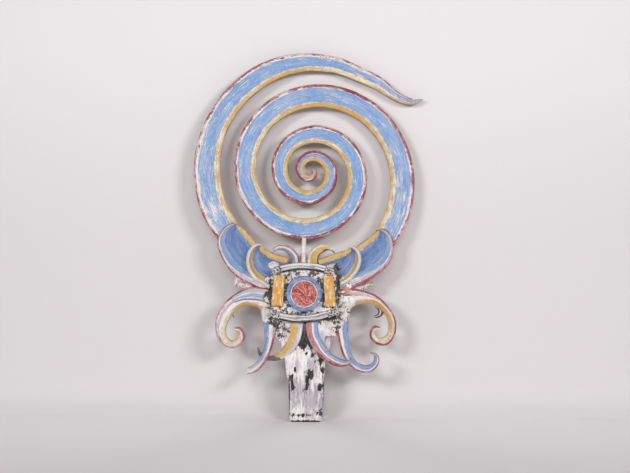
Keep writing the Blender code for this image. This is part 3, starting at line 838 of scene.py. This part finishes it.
def core():
    """Carve the block, backboard, foot, skirts, spikes and strut as one weathered body."""
    vertices, faces = [], []
    for front, back, *numbers in CORE_FORMS:
        outline = points(numbers) or BLOCK
        start, count = len(vertices), len(outline)
        vertices += [(x, depth, z) for depth in (front, back) for x, z in outline]
        faces += [tuple(range(start, start + count)),
                  tuple(reversed(range(start + count, start + 2 * count)))]
        for step in range(count):
            here, ahead = start + step, start + (step + 1) % count
            faces.append((here, here + count, ahead + count, ahead))
    blank = placed("core_blank", closed_mesh("core_blank", vertices, faces))
    voxels = blank.modifiers.new("weathered", "REMESH")
    voxels.mode = "VOXEL"
    voxels.voxel_size = CORE_VOXEL
    blank.modifiers.new("soften", "SMOOTH").iterations = CORE_SOFTENINGS
    evaluated = blank.evaluated_get(bpy.context.evaluated_depsgraph_get())
    rough = bpy.data.meshes.new_from_object(evaluated)
    bpy.data.objects.remove(blank)
    spots = []
    for vertex in rough.vertices:
        place, normal = vertex.co.copy(), vertex.normal
        dent = abs(hand_worn(place, 5, 22, 1.6)) + max(0, hand_worn(place, 9, 7, 1.8) - 0.5)
        split = torn_wood(place)
        place -= normal * (dent + 5 * split * abs(hand_worn(place, 2, 6, 1)))
        bare = 1 if normal.y > 0.6 else 0.25 * max(0, place.y / 45)
        spots.append((place, (place.z, place.x, 50), (2.5, bare, 0.5, 0.5),
                      (1, *flaking(place)[1:], 0.5)))
    return form_object("core", spots, [tuple(side.vertices) for side in rough.polygons], "flaked")


BAND = {"rim": 10, "bevel": 12.5, "bevel_drop": 9}
CUPPED = {"full_width": 28, "floor_rise": 0.9, "thin_tip": 0.2}
OUTER_CALYX = CUPPED | {
    "hollow": 22, "rim": (0, 5.5, 0.8, 5.5, 1, 9), "rim_drop": 4,
    "rim_wear": (0, 0.5, 0.6, 0.55, 0.75, 0.7, 1, 0.7), "lip": (0, 20, 0.25, 12, 0.5, 5.5, 1, 3.5),
    "wall": 17, "bevel": 13, "bevel_drop": 6, "bevel_most": 0.45, "tip_width": 22,
}
INNER_CALYX = CUPPED | {
    "hollow": 20, "rim": 8, "rim_drop": 5, "lip": 3, "wall": 11, "bevel": 14, "bevel_drop": 7,
    "bevel_most": 0.4, "tip_width": 40,
}
SCROLL = {"lean": 4, "thin_tip": 0.3, "rim_most": 0.5}
LEAF = {"lean": 6, "sink": 12, "rim": 7, "rim_most": 0.3, "thin_tip": 0.3}
# Each swept form: the spacing of its sections, its front and back, its paint and its shape.
FORMS = {
    "spiral": (4.5, (-18, 18), "blue_band", BAND | {
        "thin_tip": 0.35, "rim_most": (0, 0.2, 0.7, 0.2, 0.86, 0.24, 1, 0.4),
        "bevel_most": (0, 0.34, 0.8, 0.36, 1, 0.5),
        "rim_wear": (0, 0.7, 0.05, 0.62, 0.08, 0.52, 0.13, 0.46, 0.19, 0.6, 0.22, 0.42, 0.25, 0.46,
                     0.29, 0.74, 0.33, 0.62, 0.43, 0.66, 0.5, 0.56, 0.6, 0.56, 0.7, 0.62, 0.8, 0.46,
                     1, 0.4),
        "face_wear": (0, 0.66, 0.06, 0.58, 0.12, 0.5, 0.2, 0.46, 0.3, 0.54, 0.4, 0.44, 1, 0.4),
        "bevel_wear": (0, 0.56, 0.06, 0.72, 0.14, 0.66, 0.2, 0.46, 0.24, 0.34, 0.28, 0.5,
                       0.34, 0.74, 0.42, 0.6, 0.5, 0.72, 0.58, 0.5, 0.68, 0.68, 0.8, 0.5,
                       1, 0.46)}),
    "tail": (4.5, (-18, 18), "blue_band", BAND | {
        "rim_wear": (0, 0.56, 0.12, 0.56, 0.3, 0.72, 0.42, 0.58, 0.5, 0.5, 0.6, 0.74, 0.8, 0.66,
                     1, 0.56),
        "face_wear": (0, 0.68, 0.12, 0.64, 0.3, 0.52, 0.5, 0.46, 0.65, 0.42, 0.78, 0.5, 0.88, 0.6,
                      1, 0.5),
        "bevel_wear": (0, 0.6, 0.2, 0.7, 0.4, 0.64, 0.55, 0.54, 0.7, 0.7, 0.82, 0.84, 0.9, 0.7,
                       1, 0.5)}),
    "left_calyx": (3, (-28, 22), "calyx", OUTER_CALYX),
    "right_calyx": (3, (-28, 22), "calyx", OUTER_CALYX | {
        "face_wear": 0.56, "rim_wear": (0, 0.5, 0.6, 0.66, 1, 0.6),
        "rim": (0, 9, 0.15, 12, 0.5, 11, 0.75, 6.5, 1, 8)}),
    "left_inner_calyx": (3, (-40, 12), "inner_calyx", INNER_CALYX),
    "right_inner_calyx": (3, (-40, 12), "inner_calyx", INNER_CALYX),
    "left_hook": (2.5, (-36, -8), "grey_hook", {
        "bevel": (0, 18, 0.4, 15, 0.7, 7, 1, 5), "bevel_most": 0.5, "bevel_drop": 9}),
    # The right hook's bevel widens towards its tip to carry that painted shade.
    "right_hook": (2.5, (-36, -8), "ochre_hook", {
        "rim": 7, "rim_most": 0.3, "bevel": (0, 5, 0.5, 5, 0.68, 9, 1, 7), "bevel_drop": 7,
        "face_wear": (0, 0.5, 0.82, 0.5, 0.9, 1.2, 1, 1.4)}),
    "left_scroll": (3.5, (-36, 10), "scroll", SCROLL | {
        "rim": (0, 10, 0.3, 10, 0.45, 7, 0.75, 8, 0.88, 13, 1, 9),
        "rim_wear": (0, 0.5, 0.3, 0.56, 0.45, 0.9, 0.75, 0.8, 0.88, 0.66, 1, 0.7),
        "bevel": (0, 12, 0.25, 12, 0.35, 9, 0.5, 9, 0.6, 12, 1, 9), "bevel_most": 0.45,
        "bevel_wear": (0, 1.4, 0.05, 1.3, 0.09, 0.56, 0.3, 0.36, 0.42, 0.7, 0.6, 0.8, 0.8, 0.66,
                       1, 0.6)}),
    "right_scroll": (3.5, (-36, 10), "scroll", SCROLL | {
        "rim": (0, 8, 0.72, 8, 0.88, 13, 1, 9), "bevel": 20, "bevel_most": 0.58,
        "bevel_wear": (0, 0.5, 0.4, 0.46, 0.6, 0.66, 0.8, 0.84, 1, 0.8)}),
    # The sheath's narrow bevel carries its painted shadow line.
    "left_sheath": (3, (-41, -10), "sheath", {
        "thin_tip": 0, "bevel": 4, "bevel_drop": 6, "rim": 5}),
    "left_outer_leaf": (3, (-46, -8), "blue_leaf", LEAF | {
        "bevel": 20, "bevel_most": 0.42, "rim_wear": (0, 0.6, 0.75, 0.6, 0.9, 0.8, 1, 1),
        "bevel_wear": (0, 0.5, 0.55, 0.5, 0.75, 0.66, 0.9, 0.7, 1, 1)}),
    "right_outer_leaf": (3, (-46, -8), "blue_leaf", LEAF | {
        "bevel": 24, "bevel_most": 0.5, "rim_wear": 0.66}),
    "left_inner_leaf": (3, (-53, -17), "ochre_leaf", {
        "lean": (0, 0, 0.45, 0, 0.6, -30, 1, -30), "rim": 6, "bevel": 26, "bevel_most": 0.56,
        "bevel_drop": 8, "bare": (0, 0, 0.58, 0, 0.64, 0.6, 1, 0.6)}),
    "right_inner_leaf": (3, (-53, -17), "red_leaf", {
        "lean": 16, "rim": 10, "rim_most": 0.34, "bevel": 14, "bevel_drop": 8,
        "rim_wear": (0, 0.9, 0.45, 0.8, 0.65, 0.5, 1, 0.45)}),
    "right_tendril": (2, (-20, -4), "shaded_highlit_hook", {}),
    "left_tendril": (2, (-20, -6), "shaded_highlit_hook", {}),
    "leaf_tendril": (2, (-30, -14), "shaded_highlit_hook", {"bare": 0.45}),
}


def carved_forms():
    """Carve every swept form of the finial."""
    edges = {"spiral": spiral_edges(), "tail": tail_edges()}
    mouths = {"spiral": mouth_of("right_calyx", 9), "tail": mouth_of("left_calyx", 9),
              "left_calyx": mouth_of("left_inner_calyx", -5),
              "right_calyx": mouth_of("right_inner_calyx", -5)}
    return [sweep(name, spaced(edges.get(name) or edge_pair(name), spacing), depths, paint_name,
                  shape, mouths.get(name))
            for name, (spacing, depths, paint_name, shape) in FORMS.items()]


def carving():
    """Unite the core and every band into one closed piece of timber."""
    timber = core()
    forms = bpy.data.collections.new("carved_forms")
    bpy.context.scene.collection.children.link(forms)
    for form in carved_forms():
        forms.objects.link(form)
        bpy.context.scene.collection.objects.unlink(form)
    union = timber.modifiers.new("grown_together", "BOOLEAN")
    union.operation = "UNION"
    union.solver = "MANIFOLD"
    union.operand_type = "COLLECTION"
    union.collection = forms
    evaluated = timber.evaluated_get(bpy.context.evaluated_depsgraph_get())
    mesh = bpy.data.meshes.new_from_object(evaluated)
    mesh.name = "painted_carving"
    timber.modifiers.clear()
    timber.data = mesh
    timber.name = "painted_carving"
    for form in list(forms.objects):
        bpy.data.objects.remove(form)
    bpy.data.collections.remove(forms)
    mesh.shade_smooth()
    mesh.set_sharp_from_angle(angle=math.radians(CARVED_CREASE))
    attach(timber, "root")
    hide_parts("carving")


# ---------------------------------------------------------------- applied pieces

APPLIED_BACK = -55.3
BATTEN_HALF = 11
# Shares of a batten's length to its nails, to the end of its flat part and over its swelling.
BATTEN_NAIL, BATTEN_FLAT, BATTEN_SWELL = 0.075, 0.135, 0.035
BATTEN_LENGTH, NAIL_RADIUS = 180, 2.6
BATTEN_STEPS, BATTEN_SIDES = 110, 18
TABLET_DEEP, TABLET_WIDE, TABLET_HIGH, TABLET_BEVEL = 12, 32, 90, 3.6
TABLET_ROWS, TABLET_COLUMNS = 40, 18
ROUNDEL_CENTRE = (-4, 384)
ROUNDEL_SIDES, ROUNDEL_MOST = 128, 19.3
# Section of the turned roundel: radius, depth in front of the block, paint place.
ROUNDEL_PROFILE = (
    (53, 0, 0), (53, 8, 0), (52.8, 14.2, 0.2), (52.2, 16.4, 0.4), (50.8, 18, 0.6),
    (48.6, 18.8, 0.8), (45, 19, 1), (42.6, 18.6, 1.2), (41.2, 17.8, 1.5), (40.4, 16.4, 1.8),
    (39.6, 15.6, 2), (38.8, 15.9, 2.2), (38, 15.6, 2.4), (37.4, 14, 2.6), (36.8, 12.6, 2.8),
    (35.6, 12.3, 3), (33, 12.6, 3), (29, 12.8, 3), (24, 13, 3), (18, 13.1, 3), (12, 13.2, 3),
    (6, 13.2, 3), (2, 13.2, 3),
)


def applied(form, node):
    """Set a finished form in the place of its CAD node."""
    form.data.shade_smooth()
    form.data.set_sharp_from_angle(angle=math.radians(APPLIED_CREASE))
    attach(form, "root")
    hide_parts(node)


def batten(name, ends, rise, seed):
    """Bend a silvered half-round strip, flattened and nailed at its ends."""
    start, stop = (Vector(end) for end in ends)
    spots = []
    for index in range(BATTEN_STEPS + 1):
        t = index / BATTEN_STEPS
        x, z = start + t * (stop - start) + Vector((0, rise * 4 * t * (1 - t)))
        slope = (stop - start + Vector((0, rise * 4 * (1 - 2 * t)))).normalized()
        end = min(t, 1 - t)
        swell = math.sqrt(1 - (1 - max(0, min(1, (end - BATTEN_FLAT) / BATTEN_SWELL))) ** 2)
        for side in range(-1, BATTEN_SIDES + 2):
            turn = math.pi * min(max(side, 0), BATTEN_SIDES) / BATTEN_SIDES
            offset = BATTEN_HALF * math.cos(turn)
            crown = (3.5 + 8.5 * swell) * math.sin(turn) ** (0.4 + 0.6 * swell)
            along = (end - BATTEN_NAIL) * BATTEN_LENGTH
            nail = math.exp(-(along**2 + offset**2) / NAIL_RADIUS**2)
            depth = APPLIED_BACK - 3 - crown + 1.8 * nail
            depth += hand_worn((x, offset, seed), seed, 13, 0.9) * math.sin(turn)
            if side in (-1, BATTEN_SIDES + 1):
                depth = APPLIED_BACK
            spots.append(((x - slope.y * offset, depth, z + slope.x * offset),
                          (x - start.x, offset, seed), (side / BATTEN_SIDES, swell, nail, 0.5)))
    return form_object(name, spots, ring_faces(BATTEN_STEPS + 1, BATTEN_SIDES + 3), "silvered")


def tablet(name, corners, seed):
    """Cut a bevelled tablet between four corners, with softened, bruised edges."""
    top_left, top_right, low_right, low_left = (Vector(corner) for corner in corners)
    spots = []
    for row in range(TABLET_ROWS + 1):
        v = row / TABLET_ROWS
        for column in range(TABLET_COLUMNS + 1):
            u = column / TABLET_COLUMNS
            x, z = top_left.lerp(top_right, u).lerp(low_left.lerp(low_right, u), v)
            edge = min(min(u, 1 - u) * TABLET_WIDE, min(v, 1 - v) * TABLET_HIGH)
            fall = 3.4 * (1 - min(1, edge / TABLET_BEVEL)) ** 2
            bruise = max(0, hand_worn((x, 0, z), seed, 9, 3.5) - 0.6)
            depth = APPLIED_BACK - TABLET_DEEP + fall + bruise * (1 if edge < 6 else 0.25)
            depth += hand_worn((x, 0, z), seed + 2, 17, 0.7) + 0.3
            spots.append(((x, depth, z), (-z, x, seed), (u, min(1, edge / 10), 0.5, 0.5)))
    count, start = TABLET_COLUMNS + 1, len(spots)
    last = start - count
    faces = [(here, here + 1, here + 1 + count, here + count)
             for row in range(0, last, count) for here in range(row, row + TABLET_COLUMNS)]
    rim = [*range(count - 1), *range(count - 1, start - 1, count),
           *range(start - 1, last, -1), *range(last, 0, -count)]
    for step, corner in enumerate(rim):
        (x, _, z), grain, paint = spots[corner]
        spots.append(((x, APPLIED_BACK, z), grain, paint))
        ahead = (step + 1) % len(rim)
        faces.append((rim[ahead], corner, start + step, start + ahead))
    faces.append(tuple(range(start, start + len(rim))))
    return form_object(name, spots, faces, "ochre_tablet")


def roundel(name):
    """Turn the ring with its bead and the roughly cut disc inside it."""
    spots = []
    x_centre, z_centre = ROUNDEL_CENTRE
    for radius, rise, place in ROUNDEL_PROFILE:
        rough = 1.1 if place > 2.9 and radius < 35 else 0.35
        for side in range(ROUNDEL_SIDES):
            turn = 2 * math.pi * side / ROUNDEL_SIDES
            x, z = radius * math.cos(turn), radius * math.sin(turn)
            bumps = hand_worn((x, 0, z), 4, 5, rough)
            bumps += hand_worn((x, 0, z), 8, 16, 0.5)
            depth = APPLIED_BACK - rise - (bumps if rise > 10 else 0)
            spots.append(((x_centre + x, max(depth, APPLIED_BACK - ROUNDEL_MOST), z_centre + z),
                          (x, z, 70), (place, turn, 0.5, 0.5)))
    return form_object(name, spots, ring_faces(len(ROUNDEL_PROFILE), ROUNDEL_SIDES), "turned")


# ---------------------------------------------------------------- studio

# The wall's foot and the floor's front, from the finial, in metres, and the sweep between them.
WALL_FOOT, WALL_TOP, FLOOR_FRONT, SWEEP_RADIUS, SWEEP_STEPS = 0.103, 5, -3.4, 0.09, 16
HALF_WIDTH, FRONT_HALF_WIDTH = 7, 4
WALL_LEAN, WALL_TURN = 0.079, 0.045
AIM, BACK_AIM = (0, 0, 0.9), (0, 0, 0.65)
# The camera's eye and sensor, and the width that it takes in at a distance.
EYE, SENSOR, SEEN_WIDTH, SEEN_AT = (0.0285, -4, 0.5541), 36, 1.89, 3.975


def studio():
    """Set a pale wall that leans close behind the finial's top, running into a pale floor."""
    profile = [(FLOOR_FRONT, 0), (-2, 0)]
    for step in range(SWEEP_STEPS + 1):
        turn = math.pi / 2 * step / SWEEP_STEPS
        profile.append((WALL_FOOT - SWEEP_RADIUS + SWEEP_RADIUS * math.sin(turn),
                        SWEEP_RADIUS - SWEEP_RADIUS * math.cos(turn)))
    profile += [(WALL_FOOT - WALL_LEAN * (z - SWEEP_RADIUS), z) for z in (0.5, 1.1, WALL_TOP)]
    vertices = []
    for y, z in profile:
        half = FRONT_HALF_WIDTH if y == FLOOR_FRONT else HALF_WIDTH
        for x in (-half, half):
            vertices.append((x, y - (WALL_TURN * x if y > 0 or z > 1 else 0), z))
    faces = [(at, at + 1, at + 3, at + 2) for at in range(0, len(vertices) - 2, 2)]
    mesh = bpy.data.meshes.new("studio_sweep")
    mesh.from_pydata(vertices, [], faces)
    mesh.shade_smooth()
    mesh.materials.append(paper())
    backdrop = placed("studio_sweep", mesh)
    backdrop.visible_shadow = False


def paper():
    """Matt pale paper, with painted light up the wall and painted shade low on the wall and towards
    the front of the floor.

    Only its front shows, so that the wall hides nothing from behind.
    """
    work = Paintwork("pale_paper")
    place, (_, depth, height) = work.place()
    cloudy = place.noise((1.3, 1.3, 1.3), 2)
    # Painted light and shade: brighter from half a metre up the wall, darker on the wall than on
    # the floor, and darker towards the floor's front.
    colour = work.coats(
        "#eae5e6", ("#eee9ea", cloudy), ("#d6d0d1", height.fade(0, 0.03, 0.12, 0.66)),
        ("#eeeaec", height, 0.5, 1.2, 0.6), ("#c8c0bf", depth, 0, -1.2, 0.6))
    behind, = work.signals(work.node("ShaderNodeNewGeometry"), "Backfacing")
    work.feed(work.shader, [("Alpha", 1 - behind)])
    return work.finish(colour, 0.9, place.noise((90, 90, 90), 2), 0.0002)


def softbox(name, place, aim, size, power, spread=140):
    """Hang a soft rectangular light that faces a point, with a grid that narrows its spread."""
    light = bpy.data.lights.new(name, "AREA")
    light.shape = "RECTANGLE"
    light.size, light.size_y = size
    light.energy = power
    light.spread = math.radians(spread)
    lamp = placed(name, light)
    lamp.location = place
    lamp.rotation_euler = (Vector(aim) - Vector(place)).to_track_quat("-Z", "Y").to_euler()


def lights():
    """Light the finial softly from both sides and from the front, and its back through the wall."""
    for side, name, power in ((-1, "left", 53.5), (1, "right", 55.5)):
        softbox(f"{name}_box", (side * 2.5, -4.2, 1.95), AIM, (1.5, 0.8), power)
        softbox(f"back_{name}_box", (side * 1.8, 3.2, 1.2), BACK_AIM, (1.4, 1), 3.5, 50)
    softbox("front_box", (0, -4.6, 1.7), AIM, (1.4, 0.9), 23)
    bpy.context.scene.view_settings.view_transform = "Standard"


def surroundings():
    """Fill the shadows weakly, and show pale surroundings beyond the edges of the studio."""
    world = bpy.data.worlds.new("studio_fill")
    world.use_nodes = True
    tree = world.node_tree
    fill, seen = tree.nodes["Background"], tree.nodes.new("ShaderNodeBackground")
    fill.inputs["Color"].default_value = (0.68, 0.96, 1, 1)
    fill.inputs["Strength"].default_value = 0.1
    seen.inputs["Color"].default_value = (0.8, 0.79, 0.8, 1)
    rays = tree.nodes.new("ShaderNodeLightPath")
    choice = tree.nodes.new("ShaderNodeMixShader")
    sources = (rays.outputs["Is Camera Ray"], fill.outputs[0], seen.outputs[0])
    for source, socket in zip(sources, choice.inputs):
        tree.links.new(source, socket)
    tree.links.new(choice.outputs[0], tree.nodes["World Output"].inputs["Surface"])
    bpy.context.scene.world = world


def camera():
    """Look straight at the finial, a little above its middle's height."""
    data = bpy.data.cameras.new("camera")
    data.sensor_width = SENSOR
    data.lens = SENSOR * SEEN_AT / SEEN_WIDTH
    eye = placed("camera", data)
    eye.location = EYE
    eye.rotation_euler = (math.radians(90), 0, 0)
    bpy.context.scene.camera = eye


carving()
for name, ends, rise, seed, node in (
        ("top_batten", ((-97, 449), (84, 447)), 18, 3, "top_moulding"),
        ("bottom_batten", ((-105, 328), (93, 334)), -22, 6, "bottom_moulding")):
    applied(batten(name, ends, rise, seed), node)
for name, corners, seed, node in (
        ("left_ochre_tablet", ((-94, 440), (-60, 440), (-67, 346), (-102, 348)), 12, "left_tablet"),
        ("right_ochre_tablet", ((52, 439), (82, 438), (92, 346), (59, 344)), 16, "right_tablet")):
    applied(tablet(name, corners, seed), node)
applied(roundel("painted_roundel"), "roundel")
studio()
lights()
surroundings()
camera()
